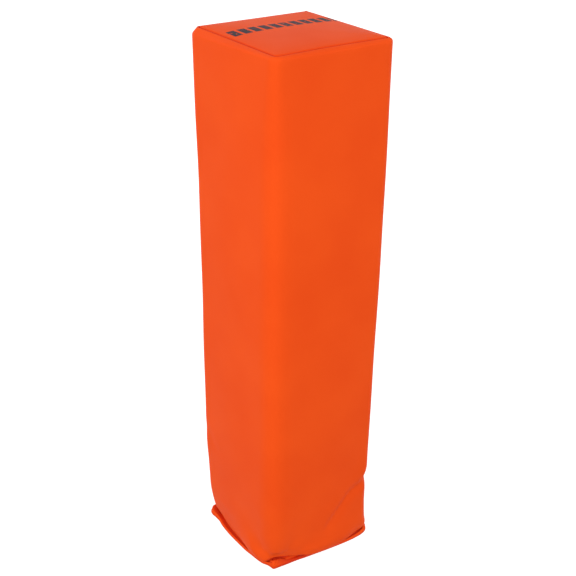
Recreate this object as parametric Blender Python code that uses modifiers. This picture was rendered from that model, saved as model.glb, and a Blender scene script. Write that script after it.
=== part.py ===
# Football end zone pylon: a sewn vinyl cover over a foam block, weighted by a bag of sand.
# Metres, +Z up. The origin is the centre of the base, on the ground. The faces of the post look
# along X and Y, and the wrap's vertical seam is at the corner towards -X and +Y.

import math

import bmesh
import bpy
from mathutils import Matrix, Vector

# Overall form
cover_height = 0.450  # ground to the crown of the top panel
cover_half = 0.0536  # axis to the flat of a wall
corner_radius = 0.008  # upright folds of the wrap
vinyl = 0.0008  # coated cloth of the wrap, the top panel and the flap
clearance = 0.0003  # between pieces that touch on the real object
ring_corner_steps = 4  # an even number, because a ring starts at the middle of a corner
ring_side_steps = 4
thread_bevel_steps = 2

# Top: the wrap turns over the edge as a border and meets the panel in a turned seam
top_crown = 0.0015
border_width = 0.0045
border_rise = 0.0041
seam_allowance = 0.008
border_rounding = 0.001  # how much less round the shoulder is than the wall below it
# (width, height) across the border, from the seam to the wall
border_shares = ((0.0, 1.0), (0.78, 0.62), (1.0, 0.0))
# (size, height) of the rings that crown the panel, from its edge inwards
crown_shares = ((0.9, 0.25), (0.62, 0.68), (0.3, 0.94))

# Walls: straight where the foam stands, loose and rounder round the ballast
loose_height = 0.078
cover_swell = 0.0004  # how much fuller the walls are near the top
side_crown = 0.0006
base_draw_in = 0.0056
base_corner_radius = 0.016
base_crown = 0.0035
# (height, swell) up the foam zone, from its top down
foam_zone_shares = ((0.982, 1.0), (0.82, 0.7), (0.58, 0.2), (0.14, 0.0))
# (height, drawn in, rounding, crown) down the loose zone
loose_zone_shares = (
    (1.0, 0.0, 0.0, 0.1),
    (0.56, 0.04, 0.25, 0.35),
    (0.25, 0.15, 0.6, 0.5),
    (0.10, 0.5, 0.85, 1.0),
)

# Rim: the fold that stands out under the walls, with pointed corners
rim_thickness = 0.0027
rim_root_lift = 0.0007
rim_inset = 0.0036
rim_crown = 0.003
rim_corner_radius = 0.0025
rim_nose_rounding = 0.0004

# Back seam: both ends of the wrap turn inwards
seam_gap = 0.0004
back_seam_allowance = 0.008
seam_thread_diameter = 0.0005

# Base opening, its flap and the hook and loop tapes
frame_inset = 0.0033  # wall root to the step inside the rim
tape_width = 0.011
tape_thickness = 0.0007
tape_margin = 0.001
stitch_inset = 0.0015
stitch_diameter = 0.0004
hinge_strip_width = 0.0115
hinge_stitch_share = 0.7

# Ballast
bag_cloth = 0.0006
bag_seam_height = 0.037
bag_side_room = 0.0037
bag_flange_room = 0.0028
bag_corner_radius = 0.022
bag_flange_rounding = 0.004
bag_seam_draw_in = 0.002
bag_nose_radius = 0.008
bag_nose_draw_in = 0.0011
# (height, size) from the hem up to the seam, as shares of that height and of the bag's half width
bag_lower_shares = ((0.16, 0.96), (0.58, 1.0))
# (height, size) from the seam up to the bag's top
bag_upper_shares = ((0.31, 1.0), (0.74, 0.98), (0.93, 0.92), (1.0, 0.79))
bag_hem_share = 0.82

# Foam
foam_shoulder_drop = 0.0015
foam_corner_steps = 3

# Worked out from the sizes above
seam_z = cover_height - top_crown
shoulder_z = seam_z - border_rise
seam_half = cover_half + cover_swell - border_width
seam_radius = corner_radius - border_width
root_half = cover_half - base_draw_in
root_z = rim_thickness + rim_root_lift
rim_half = cover_half - rim_inset
frame_half = root_half - frame_inset
frame_radius = base_corner_radius - frame_inset
flap_half = frame_half - clearance
flap_radius = frame_radius - clearance
stack_step = clearance + stitch_diameter
hook_z = vinyl + clearance
hook_stitch_z = hook_z + tape_thickness + clearance
loop_stitch_z = hook_stitch_z + stack_step
loop_z = loop_stitch_z + stack_step
hem_z = loop_z + tape_thickness + clearance
tape_outer = flap_half - tape_margin
tape_inner = tape_outer - tape_width
tape_reach = flap_half - flap_radius
hem_end_half = tape_inner - tape_margin
hem_end_radius = frame_radius - (frame_half - hem_end_half) / 2


def clear_scene():
    for item in list(bpy.data.objects):
        bpy.data.objects.remove(item, do_unlink=True)


def make_collection(name):
    group = bpy.data.collections.new(name)
    bpy.context.scene.collection.children.link(group)
    return group


def make_material(name, colour, roughness):
    material = bpy.data.materials.new(name)
    material.use_nodes = True
    shader = material.node_tree.nodes["Principled BSDF"]
    shader.inputs["Base Color"].default_value = (*colour, 1.0)
    shader.inputs["Roughness"].default_value = roughness
    shader.inputs["Metallic"].default_value = 0.0
    material.diffuse_color = (*colour, 1.0)
    return material


def add_object(name, mesh, group, material):
    item = bpy.data.objects.new(name, mesh)
    mesh.materials.append(material)
    group.objects.link(item)
    return item


def smooth(mesh, angle_deg=40):
    mesh.shade_smooth()
    mesh.set_sharp_from_angle(angle=math.radians(angle_deg))


# A ring is a level square with round corners and crowned sides, seen as points (x, y) that run
# anticlockwise from the middle of the back seam's corner and end there again.
def ring(half, radius, crown=0.0):
    points = []
    centre = half - radius
    corner_starts = (135.0, 180.0, 270.0, 0.0, 90.0)
    corner_signs = ((-1, 1), (-1, -1), (1, -1), (1, 1), (-1, 1))
    step = 90.0 / ring_corner_steps
    half_steps = ring_corner_steps // 2
    for index, start in enumerate(corner_starts):
        sign_x, sign_y = corner_signs[index]
        whole = index in (1, 2, 3)
        count = ring_corner_steps if whole else half_steps
        for step_index in range(count + 1):
            turn = math.radians(start + step * step_index)
            x = sign_x * centre + radius * math.cos(turn)
            y = sign_y * centre + radius * math.sin(turn)
            points.append((x, y))
        if index < len(corner_starts) - 1:
            normal = math.radians(start + step * count)
            next_sign_x, next_sign_y = corner_signs[index + 1]
            end_x = next_sign_x * centre + radius * math.cos(normal)
            end_y = next_sign_y * centre + radius * math.sin(normal)
            for side_index in range(1, ring_side_steps):
                share = side_index / ring_side_steps
                out = crown * 4 * share * (1 - share)
                along_x = x + (end_x - x) * share
                along_y = y + (end_y - y) * share
                points.append((along_x + out * math.cos(normal), along_y + out * math.sin(normal)))
    return points


def level_ring(z, half, radius, crown=0.0):
    return [Vector((x, y, z)) for x, y in ring(half, radius, crown)]


# Skins a list of rings, from the top down where they stand round the outside.
def loft(bm, rings, closed):
    rows = []
    for points in rings:
        rows.append([bm.verts.new(point) for point in (points[:-1] if closed else points)])
    for upper, lower in zip(rows, rows[1:]):
        count = len(upper)
        for index in range(count if closed else count - 1):
            after = (index + 1) % count
            bm.faces.new((upper[index], lower[index], lower[after], upper[after]))
    return rows


def finish_mesh(bm, name):
    mesh = bpy.data.meshes.new(name)
    bm.normal_update()
    bm.to_mesh(mesh)
    bm.free()
    smooth(mesh)
    return mesh


def add_wall(item, thickness):
    wall = item.modifiers.new("cloth_thickness", "SOLIDIFY")
    wall.thickness = thickness
    wall.offset = -1.0
    wall.use_even_offset = True
    wall.use_quality_normals = True
    return item


def loft_solid(name, rings, group, material):
    bm = bmesh.new()
    rows = loft(bm, rings, closed=True)
    bm.faces.new(rows[0])
    bm.faces.new(list(reversed(rows[-1])))
    return add_object(name, finish_mesh(bm, name), group, material)


def box(name, low, high, group, material):
    bm = bmesh.new()
    bmesh.ops.create_cube(bm, size=1.0)
    size = Vector(high) - Vector(low)
    centre = (Vector(high) + Vector(low)) / 2
    bm.transform(Matrix.Translation(centre) @ Matrix.Diagonal((*size, 1.0)))
    return add_object(name, finish_mesh(bm, name), group, material)


def thread(name, points, diameter, closed, group, material):
    curve = bpy.data.curves.new(name, "CURVE")
    curve.dimensions = "3D"
    curve.bevel_depth = diameter / 2
    curve.bevel_resolution = thread_bevel_steps
    curve.use_fill_caps = not closed
    spline = curve.splines.new("POLY")
    spline.points.add(len(points) - 1)
    for target, point in zip(spline.points, points):
        target.co = (*point, 1.0)
    spline.use_cyclic_u = closed
    curve.materials.append(material)
    item = bpy.data.objects.new(name, curve)
    group.objects.link(item)
    return item


# The wall at a height share of the foam zone
def foam_zone_ring(height_share, swell_share):
    z = loose_height + (shoulder_z - loose_height) * height_share
    half = cover_half + cover_swell * swell_share
    return z, half, corner_radius, side_crown


def loose_zone_ring(height_share, draw_share, rounding_share, crown_share):
    z = loose_height * height_share
    half = cover_half - base_draw_in * draw_share
    radius = corner_radius + (base_corner_radius - corner_radius) * rounding_share
    crown = side_crown + (base_crown - side_crown) * crown_share
    return z, half, radius, crown


def wall_rings():
    upper = [foam_zone_ring(*shares) for shares in foam_zone_shares]
    lower = [loose_zone_ring(*shares) for shares in loose_zone_shares]
    return upper + lower


def border_rings():
    rows = []
    for width_share, height_share in border_shares:
        half = seam_half + border_width * width_share
        z = shoulder_z + border_rise * height_share
        radius = seam_radius + (corner_radius - border_rounding - seam_radius) * width_share
        rows.append((z, half, radius, side_crown * width_share))
    return rows


def base_rings():
    return [
        (root_z, root_half, base_corner_radius, base_crown),
        (rim_thickness, rim_half - rim_nose_rounding, rim_corner_radius, rim_crown),
        (rim_thickness / 2, rim_half, rim_corner_radius, rim_crown),
        (0.0, rim_half - rim_nose_rounding, rim_corner_radius, rim_crown),
        (0.0, frame_half, frame_radius, 0.0),
        (hem_z, frame_half, frame_radius, 0.0),
        (hem_z, hem_end_half, hem_end_radius, 0.0),
    ]


# Opens the back seam by a hairline between the ring's two ends
def open_seam(points):
    shift = Vector((1.0, 1.0, 0.0)).normalized() * seam_gap / 2
    first = points[0] - shift
    last = points[-1] + shift
    return [first, *points[1:-1], last]


def inward():
    return Vector((1.0, -1.0, 0.0)).normalized()


def make_cover_wrap(group, material):
    allowance_ring = (seam_z - seam_allowance, seam_half, seam_radius, 0.0)
    walls = wall_rings()
    profile = [allowance_ring, *border_rings(), *walls, *base_rings()]
    first_fin_row = 1 + len(border_rings())
    last_fin_row = first_fin_row + len(walls) - 2
    bm = bmesh.new()
    rows = loft(bm, [open_seam(level_ring(*row)) for row in profile], closed=False)
    # the two turned-in edges of the wrap along the back seam
    for end, order in ((0, 1), (-1, -1)):
        edge = [row[end] for row in rows[first_fin_row : last_fin_row + 1]]
        fin = [bm.verts.new(vert.co + inward() * back_seam_allowance) for vert in edge]
        for index in range(len(edge) - 1):
            face = (fin[index], fin[index + 1], edge[index + 1], edge[index])
            bm.faces.new(face[::order])
    item = add_object("cover_wrap", finish_mesh(bm, "cover_wrap"), group, material)
    return add_wall(item, vinyl)


def make_top_panel(group, material):
    half = seam_half - clearance
    radius = seam_radius - clearance
    crown_rows = []
    for size_share, height_share in reversed(crown_shares):
        z = seam_z + top_crown * height_share
        crown_rows.append((z, half * size_share, radius * size_share))
    crown_rows.append((seam_z, half, radius))
    crown_rows.append((seam_z - seam_allowance, half, radius))
    bm = bmesh.new()
    rows = loft(bm, [level_ring(*row) for row in crown_rows], closed=True)
    crown = bm.faces.new(rows[0])
    peak = bmesh.ops.poke(bm, faces=[crown])["verts"][0]
    peak.co.z = cover_height
    item = add_object("top_panel", finish_mesh(bm, "top_panel"), group, material)
    return add_wall(item, vinyl)


def make_top_seam_thread(group, material):
    inset = clearance + vinyl + clearance + seam_thread_diameter / 2
    z = seam_z - vinyl - clearance - seam_thread_diameter
    points = level_ring(z, seam_half - inset, seam_radius - clearance)[:-1]
    thread("top_seam_thread", points, seam_thread_diameter, True, group, material)


def make_back_seam_thread(group, material):
    side = Vector((1.0, 1.0, 0.0)).normalized()
    out = seam_gap / 2 + vinyl + clearance + seam_thread_diameter / 2
    points = []
    for row in wall_rings()[:-1]:
        corner = level_ring(*row)[0]
        points.append(corner + inward() * back_seam_allowance / 2 + side * out)
    # the ends stop one diameter short of the seam's
    points[0].z -= seam_thread_diameter
    points[-1].z += seam_thread_diameter
    thread("back_seam_thread", points, seam_thread_diameter, False, group, material)


def make_hem_thread(group, material):
    z = hem_z + vinyl + clearance + seam_thread_diameter / 2
    half = frame_half - stitch_inset * 2
    points = level_ring(z, half, frame_radius - stitch_inset)[:-1]
    thread("hem_thread", points, seam_thread_diameter, True, group, material)


def make_foam_core(group, cutters, material):
    half = cover_half - vinyl - clearance
    shoulder_half = seam_half - 2 * vinyl - 4 * clearance - seam_thread_diameter
    low = seam_z - seam_allowance - foam_shoulder_drop
    top = seam_z - vinyl - clearance
    bm = bmesh.new()
    bmesh.ops.create_cube(bm, size=1.0)
    size = Vector((2 * half, 2 * half, low - loose_height))
    centre = Vector((0.0, 0.0, (low + loose_height) / 2))
    bm.transform(Matrix.Translation(centre) @ Matrix.Diagonal((*size, 1.0)))
    upright = [edge for edge in bm.edges if abs(edge.verts[0].co.z - edge.verts[1].co.z) > half]
    bmesh.ops.bevel(
        bm,
        geom=upright,
        offset=corner_radius - vinyl - clearance,
        offset_type="OFFSET",
        segments=foam_corner_steps,
        profile=0.5,
        affect="EDGES",
    )
    # the part of the block that stands up inside the seam allowances
    top_face = max(bm.faces, key=lambda face: face.calc_center_median().z)
    bmesh.ops.inset_region(bm, faces=[top_face], thickness=half - shoulder_half)
    boss = bmesh.ops.extrude_face_region(bm, geom=[top_face])["geom"]
    bmesh.ops.delete(bm, geom=[top_face], context="FACES_ONLY")
    lifted = [vert for vert in boss if isinstance(vert, bmesh.types.BMVert)]
    bmesh.ops.translate(bm, verts=lifted, vec=(0.0, 0.0, top - low))
    bmesh.ops.recalc_face_normals(bm, faces=bm.faces)
    item = add_object("foam_core", finish_mesh(bm, "foam_core"), group, material)

    # a slit for the turned-in edges of the back seam
    slit_half = seam_gap / 2 + vinyl + 2 * clearance + seam_thread_diameter
    corner_reach = (cover_half - corner_radius) * math.sqrt(2) + corner_radius
    depth = back_seam_allowance + vinyl
    bm = bmesh.new()
    bmesh.ops.create_cube(bm, size=1.0)
    bm.transform(Matrix.Diagonal((2 * depth, 2 * slit_half, 2 * cover_height, 1.0)))
    slit = add_object("foam_slit_cutter", finish_mesh(bm, "foam_slit_cutter"), cutters, material)
    slit.matrix_world = Matrix.Rotation(math.radians(135), 4, "Z") @ Matrix.Translation(
        (corner_reach, 0.0, 0.0)
    )
    slit.hide_render = True
    slit.display_type = "WIRE"
    cut = item.modifiers.new("seam_slit", "BOOLEAN")
    cut.operation = "DIFFERENCE"
    cut.solver = "EXACT"
    cut.object = slit


def bag_sizes():
    half = cover_half - vinyl - bag_side_room
    flange_half = cover_half - vinyl - bag_flange_room
    top_z = loose_height - clearance
    return half, flange_half, top_z


# Outer rings of the bag below its seam, which sags through the opening onto the flap
def bag_lower_rings(inset):
    half, _, _ = bag_sizes()
    nose = hem_end_half - bag_nose_draw_in - inset
    hem_top = hem_z + vinyl + clearance + inset
    rest_z = vinyl + clearance + inset
    rise = bag_seam_height - hem_top
    rows = [
        (bag_seam_height, half - bag_seam_draw_in - inset, bag_corner_radius),
    ]
    for height_share, size_share in reversed(bag_lower_shares):
        rows.append((hem_top + rise * height_share, half * size_share - inset, bag_corner_radius))
    neck_z = hem_top + seam_thread_diameter + 2 * clearance
    rows.append((neck_z, half * bag_hem_share - inset, bag_corner_radius * bag_hem_share))
    rows.append((neck_z - clearance, nose + bag_nose_draw_in / 2, bag_nose_radius))
    rows.append((rest_z + bag_nose_draw_in, nose, bag_nose_radius))
    rows.append((rest_z, nose - bag_nose_draw_in, bag_nose_radius))
    return rows


def bag_upper_rings(inset):
    half, _, top_z = bag_sizes()
    start = bag_seam_height + 2 * bag_cloth + clearance
    rise = top_z - inset - start
    rows = []
    for height_share, size_share in reversed(bag_upper_shares):
        z = start + rise * height_share
        rows.append((z, half * size_share - inset, bag_corner_radius * size_share))
    rows.append((start, half - bag_seam_draw_in - inset, bag_corner_radius))
    return rows


def make_ballast(group, cloth, thread_material, sand):
    _, flange_half, _ = bag_sizes()
    flange_radius = bag_corner_radius + bag_flange_rounding

    bm = bmesh.new()
    lower = [level_ring(bag_seam_height, flange_half, flange_radius)]
    lower += [level_ring(*row) for row in bag_lower_rings(0.0)]
    rows = loft(bm, lower, closed=True)
    bm.faces.new(list(reversed(rows[-1])))
    item = add_object("ballast_bag_lower", finish_mesh(bm, "ballast_bag_lower"), group, cloth)
    add_wall(item, bag_cloth)

    bm = bmesh.new()
    flange_z = bag_seam_height + 2 * bag_cloth + clearance
    upper = [level_ring(*row) for row in bag_upper_rings(0.0)]
    upper.append(level_ring(flange_z, flange_half, flange_radius))
    rows = loft(bm, upper, closed=True)
    bm.faces.new(rows[0])
    item = add_object("ballast_bag_upper", finish_mesh(bm, "ballast_bag_upper"), group, cloth)
    add_wall(item, bag_cloth)

    inset = bag_cloth + clearance
    fill = bag_upper_rings(inset)[:-1] + bag_lower_rings(inset)
    loft_solid("ballast_sand", [level_ring(*row) for row in fill], group, sand)

    half, _, _ = bag_sizes()
    middle = (half - bag_seam_draw_in + flange_half) / 2
    z = flange_z + clearance + seam_thread_diameter / 2
    points = level_ring(z, middle, bag_corner_radius + bag_flange_rounding / 2)[:-1]
    name = "ballast_bag_thread"
    thread(name, points, seam_thread_diameter, True, group, thread_material)


# The flap turns about the hinge line: its root edge on the ground side
def add_hinge(group):
    hinge = bpy.data.objects.new("flap_hinge", None)
    hinge.location = (0.0, flap_half, 0.0)
    group.objects.link(hinge)
    return hinge


def hang_on(item, hinge):
    bpy.context.view_layer.update()
    item.parent = hinge
    item.matrix_parent_inverse = hinge.matrix_world.inverted()


def make_base_flap(group, hinge, material):
    bm = bmesh.new()
    loft(bm, [level_ring(vinyl, flap_half, flap_radius), level_ring(0.0, flap_half, flap_radius)], True)
    upper = [vert for vert in bm.verts if vert.co.z > 0]
    lower = [vert for vert in bm.verts if vert.co.z == 0]
    bm.faces.new(upper)
    bm.faces.new(list(reversed(lower)))
    item = add_object("base_flap", finish_mesh(bm, "base_flap"), group, material)
    hang_on(item, hinge)


def make_hinge_strip(group, material, thread_material):
    outer = flap_half
    inner = flap_half - hinge_strip_width
    top = hem_z - clearance
    foot = vinyl + clearance
    # an L in the YZ plane, drawn along X
    outline = (
        (inner, top),
        (outer, top),
        (outer, foot),
        (outer - vinyl, foot),
        (outer - vinyl, top - vinyl),
        (inner, top - vinyl),
    )
    bm = bmesh.new()
    face = bm.faces.new([bm.verts.new((-tape_reach, y, z)) for y, z in outline])
    pushed = bmesh.ops.extrude_face_region(bm, geom=[face])["geom"]
    moved = [vert for vert in pushed if isinstance(vert, bmesh.types.BMVert)]
    bmesh.ops.translate(bm, verts=moved, vec=(2 * tape_reach, 0.0, 0.0))
    bmesh.ops.recalc_face_normals(bm, faces=bm.faces)
    add_object("flap_hinge_strip", finish_mesh(bm, "flap_hinge_strip"), group, material)

    y = outer - hinge_strip_width * hinge_stitch_share
    z = top - vinyl - clearance - stitch_diameter / 2
    reach = tape_reach - stitch_inset
    points = (Vector((-reach, y, z)), Vector((reach, y, z)))
    thread("flap_hinge_thread", points, stitch_diameter, False, group, thread_material)


# Low and high corners, in X and Y, of the three tapes round the opening
def tape_places():
    return {
        "front": ((-tape_reach, -tape_outer), (tape_reach, -tape_inner)),
        "left": ((-tape_outer, -tape_reach), (-tape_inner, tape_reach)),
        "right": ((tape_inner, -tape_reach), (tape_outer, tape_reach)),
    }


def stitch_loop(low, high, z):
    left = low[0] + stitch_inset
    right = high[0] - stitch_inset
    near = low[1] + stitch_inset
    far = high[1] - stitch_inset
    corners = ((left, near), (right, near), (right, far), (left, far))
    return [Vector((x, y, z)) for x, y in corners]


def make_tapes(group, hinge, hook, loop, thread_material):
    for place, (low, high) in tape_places().items():
        hook_tape = box(
            f"hook_tape_{place}", (*low, hook_z), (*high, hook_z + tape_thickness), group, hook
        )
        stitches = stitch_loop(low, high, hook_stitch_z + stitch_diameter / 2)
        hook_thread = thread(
            f"hook_stitch_{place}", stitches, stitch_diameter, True, group, thread_material
        )
        hang_on(hook_tape, hinge)
        hang_on(hook_thread, hinge)
        box(f"loop_tape_{place}", (*low, loop_z), (*high, loop_z + tape_thickness), group, loop)
        stitches = stitch_loop(low, high, loop_stitch_z + stitch_diameter / 2)
        thread(f"loop_stitch_{place}", stitches, stitch_diameter, True, group, thread_material)


def main():
    clear_scene()
    parts = make_collection("end_zone_pylon")
    cutters = make_collection("cutters")
    vinyl_orange = make_material("coated_vinyl", (0.86, 0.10, 0.013), 0.45)
    thread_orange = make_material("orange_thread", (0.80, 0.12, 0.02), 0.6)
    foam = make_material("foam", (0.75, 0.70, 0.55), 0.95)
    canvas = make_material("bag_canvas", (0.10, 0.10, 0.11), 0.9)
    sand = make_material("sand", (0.50, 0.38, 0.22), 0.95)
    hook = make_material("hook_tape", (0.02, 0.02, 0.02), 0.5)
    loop = make_material("loop_tape", (0.02, 0.02, 0.02), 0.9)

    make_cover_wrap(parts, vinyl_orange)
    make_top_panel(parts, vinyl_orange)
    make_top_seam_thread(parts, thread_orange)
    make_back_seam_thread(parts, thread_orange)
    make_hem_thread(parts, thread_orange)
    make_foam_core(parts, cutters, foam)
    make_ballast(parts, canvas, thread_orange, sand)

    hinge = add_hinge(parts)
    make_base_flap(parts, hinge, vinyl_orange)
    make_hinge_strip(parts, vinyl_orange, thread_orange)
    make_tapes(parts, hinge, hook, loop, thread_orange)


main()
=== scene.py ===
import math

import bmesh
import bpy
import numpy as np
from mathutils import Matrix, Vector, noise


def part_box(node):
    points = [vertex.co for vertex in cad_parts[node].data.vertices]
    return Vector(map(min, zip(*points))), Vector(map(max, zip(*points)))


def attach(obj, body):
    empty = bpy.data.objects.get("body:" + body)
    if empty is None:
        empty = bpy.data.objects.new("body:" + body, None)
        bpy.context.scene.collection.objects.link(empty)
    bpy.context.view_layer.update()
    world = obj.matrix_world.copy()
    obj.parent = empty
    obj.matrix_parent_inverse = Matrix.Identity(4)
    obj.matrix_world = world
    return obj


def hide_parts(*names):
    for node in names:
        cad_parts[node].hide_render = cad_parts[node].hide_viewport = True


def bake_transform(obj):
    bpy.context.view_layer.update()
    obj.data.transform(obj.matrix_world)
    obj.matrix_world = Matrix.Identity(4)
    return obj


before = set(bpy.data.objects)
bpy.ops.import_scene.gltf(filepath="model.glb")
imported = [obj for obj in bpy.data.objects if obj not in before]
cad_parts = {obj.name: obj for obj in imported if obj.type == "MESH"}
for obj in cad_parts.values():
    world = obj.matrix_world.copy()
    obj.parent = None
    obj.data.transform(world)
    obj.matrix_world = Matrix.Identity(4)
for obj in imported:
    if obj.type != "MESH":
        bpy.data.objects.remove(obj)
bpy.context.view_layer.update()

scene = bpy.context.scene
mm = 0.001
print("frame loaded:", len(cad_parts), "nodes")


# Colours are sRGB hex values, as picked from a swatch
def hexColour(code):
    parts = [int(code[i : i + 2], 16) / 255 for i in (1, 3, 5)]
    return [c / 12.92 if c <= 0.04045 else ((c + 0.055) / 1.055) ** 2.4 for c in parts] + [1.0]


# Adds a node with its settings. Into a socket goes a value, an output, or a node's first output. A
# kind takes the tree's own family name, as ShaderNode for TexNoise, unless it says another.
def addNode(tree, kind, sockets=(), **settings):
    family = "" if "Node" in kind else tree.bl_idname.removesuffix("Tree")
    node = tree.nodes.new(family + kind)
    for name, value in settings.items():
        setattr(node, name, value)
    for name, value in dict(sockets).items():
        if isinstance(value, bpy.types.Node):
            value = value.outputs[0]
        if isinstance(value, bpy.types.NodeSocket):
            tree.links.new(value, node.inputs[name])
        else:
            node.inputs[name].default_value = value
    return node


# A new material, its shader, and the place in the piece's own space that its patterns read
def startMaterial(name, look):
    material = bpy.data.materials.new(name)
    material.use_nodes = True
    material.diffuse_color = hexColour(look["colour"])
    tree = material.node_tree
    tree.nodes.clear()
    surface = {
        "Base Color": hexColour(look["colour"]),
        "Roughness": look["roughness"],
        "Specular IOR Level": look["specular"],
        "Sheen Weight": look.get("sheen", 0.0),
    }
    shader = addNode(tree, "BsdfPrincipled", surface)
    addNode(tree, "OutputMaterial", {"Surface": shader})
    return material, tree, shader, addNode(tree, "TexCoord").outputs["Object"]


# Lays colours one over another, each as (factor, colour, factor where it starts, where it is full)
def layColours(tree, first, *layers):
    colour = hexColour(first)
    for factor, code, start, full in layers:
        share = addNode(tree, "MapRange", {"Value": factor, "From Min": start, "From Max": full})
        mix = addNode(tree, "Mix", {0: share, 6: colour, 7: hexColour(code)}, data_type="RGBA")
        colour = mix.outputs[2]
    return colour


# Gives a shader its colour and its relief, as (height, depth in mm, strength). A depth below 0
# turns high into low.
def coverSurface(tree, shader, colour, *relief):
    tree.links.new(colour, shader.inputs["Base Color"])
    below = {}
    for height, depth, strength in relief:
        sockets = {"Height": height, "Distance": abs(depth) * mm, "Strength": strength}
        bump = addNode(tree, "Bump", sockets | below, invert=depth < 0)
        tree.links.new(bump.outputs[0], shader.inputs["Normal"])
        below = {"Normal": bump}


waveScale = 0.314  # a wave repeats about every 0.314 of its scale


# The outputs of a texture that repeats about every so many mm
def addPattern(tree, kind, place, size, sockets=(), **settings):
    scale = (waveScale if kind == "TexWave" else 1) / (size * mm)
    return addNode(tree, kind, {"Vector": place, "Scale": scale} | dict(sockets), **settings).outputs


# How high a plain weave stands, from 0 in its gaps to 1, with its threads along the cloth's map
def weaveHeight(tree, threadPitch, distortion):
    cloth = addNode(tree, "UVMap", uv_map="cloth")
    crooked = {"Distortion": distortion, "Detail": 1.0}
    across = addPattern(tree, "TexWave", cloth, threadPitch, crooked, bands_direction="X")["Fac"]
    along = addPattern(tree, "TexWave", cloth, threadPitch, crooked, bands_direction="Y")["Fac"]
    return addNode(tree, "Math", {0: across, 1: along}, operation="MULTIPLY")


coatedVinyl = dict(
    colour="#F35317",
    shade="#EF4E15",
    fold="#D63617",  # painted shade, put where the cloth folds in among other cloth: slits, pockets and seams
    roughness=0.5,
    roughnessChange=0.05,
    specular=0.045,
    threadPitch=1.1,  # mm, of the polyester cloth under the film, drawn a little coarse so that it shows
    weaveDepth=0.012,  # mm
    grainSize=0.9,
    grainDepth=0.03,
    blotchSize=60,
)

# A row of plain printed bars on the top, one beside the other along the panel, in mm
topPrint = dict(
    ink="#3A3238",
    middle=(-12.5, 3.0, 451.5),
    bar=6.4,
    length=13.0,
    pitch=8.9,
    count=11,
    outerFace=3.0,  # above and below the middle, so that the turned down edge stays bare
    wear=2.2,
)


# Ink from 0 to 1: inside each bar, worn off in small spots
def barInk(tree, place, row):
    x, y, z = row["middle"]
    halfRow = row["pitch"] * (row["count"] - 1) / 2
    axes = addNode(tree, "SeparateXYZ", {0: place}).outputs
    rubbed = addPattern(tree, "TexNoise", place, row["wear"], {"Detail": 4.0, "Roughness": 0.7})["Fac"]
    ink = addNode(tree, "MapRange", {"Value": rubbed, "From Min": 0.3, "From Max": 0.42})
    # how far a point is along the row from the middle of the nearest bar
    along = addNode(tree, "Math", {0: axes["Y"], 1: (y - halfRow) * mm}, operation="SUBTRACT")
    fromBar = addNode(tree, "Math", {0: along, 1: row["pitch"] / 2 * mm}, operation="PINGPONG")
    for value, middle, half in (
        (fromBar, 0.0, row["bar"] / 2),
        (axes["Y"], y, halfRow + row["bar"] / 2),
        (axes["X"], x, row["length"] / 2),
        (axes["Z"], z, row["outerFace"]),
    ):
        inside = addNode(tree, "Math", {0: value, 1: middle * mm, 2: half * mm}, operation="COMPARE")
        ink = addNode(tree, "Math", {0: ink, 1: inside}, operation="MULTIPLY")
    return ink


# PVC coated polyester: a satin calendered film, with the faintest print of the cloth below it. It
# can have a row of bars screen printed on it.
def makeVinyl(name, row=None):
    v = coatedVinyl
    material, tree, shader, place = startMaterial(name, v)
    blotch = addPattern(tree, "TexNoise", place, v["blotchSize"])["Fac"]
    # painted shade: a value stored on each point of the mesh mixes the colour towards the fold colour in
    # slits, pockets and seams
    paintedShade = addNode(tree, "Attribute", attribute_name="paintedShade").outputs["Fac"]
    layers = [(blotch, v["colour"], 0.3, 0.65), (paintedShade, v["fold"], 0.0, 1.0)]
    if row:
        layers.append((barInk(tree, place, row), row["ink"], 0.0, 1.0))
    most, least = v["roughness"] + v["roughnessChange"], v["roughness"] - v["roughnessChange"]
    dull = addNode(tree, "MapRange", {"Value": blotch, "To Min": most, "To Max": least})
    tree.links.new(dull.outputs[0], shader.inputs["Roughness"])
    woven = weaveHeight(tree, v["threadPitch"], 0.4)
    grain = addPattern(tree, "TexNoise", place, v["grainSize"])["Fac"]
    colour = layColours(tree, v["shade"], *layers)
    coverSurface(tree, shader, colour, (woven, v["weaveDepth"], 1.0), (grain, v["grainDepth"], 0.6))
    return material


# Sizes of these finishes are in mm too
threadFinish = dict(
    colour="#D9450E", shade="#A83208", roughness=0.62, specular=0.35, sheen=0.25,
    twistPitch=0.45, twistDepth=0.05,
)


# Bonded polyester sewing thread: plied, so fine slanting twists run along it, with a dull sheen
def makeThread():
    t = threadFinish
    material, tree, shader, place = startMaterial("bondedThread", t)
    slant = dict(bands_direction="DIAGONAL")
    twist = addPattern(tree, "TexWave", place, t["twistPitch"], {"Distortion": 0.6}, **slant)["Fac"]
    colour = layColours(tree, t["shade"], (twist, t["colour"], 0.0, 1.0))
    coverSurface(tree, shader, colour, (twist, t["twistDepth"], 1.0))
    return material


foamFinish = dict(
    colour="#E3DBC6", shade="#B9AD90", blotch="#D6CBAF", roughness=0.92, specular=0.2,
    cellSize=1.6, cellDepth=0.5, blotchSize=30,
)


# Slab cut polyurethane foam: matt, with open cells that the saw has left as small pits
def makeFoam():
    f = foamFinish
    material, tree, shader, place = startMaterial("slabFoam", f)
    cells = addPattern(tree, "TexVoronoi", place, f["cellSize"])["Distance"]
    blotch = addPattern(tree, "TexNoise", place, f["blotchSize"], {"Detail": 4.0})["Fac"]
    layers = (cells, f["colour"], 0.05, 0.45), (blotch, f["blotch"], 0.5, 0.2)
    colour = layColours(tree, f["shade"], *layers)
    coverSurface(tree, shader, colour, (cells, f["cellDepth"], 1.0))
    return material


canvasFinish = dict(
    colour="#626267", weft="#4C4C51", gap="#2A2A2D", roughness=0.88, specular=0.25, sheen=0.15,
    threadPitch=1.3, weaveDepth=0.25,
)


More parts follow.
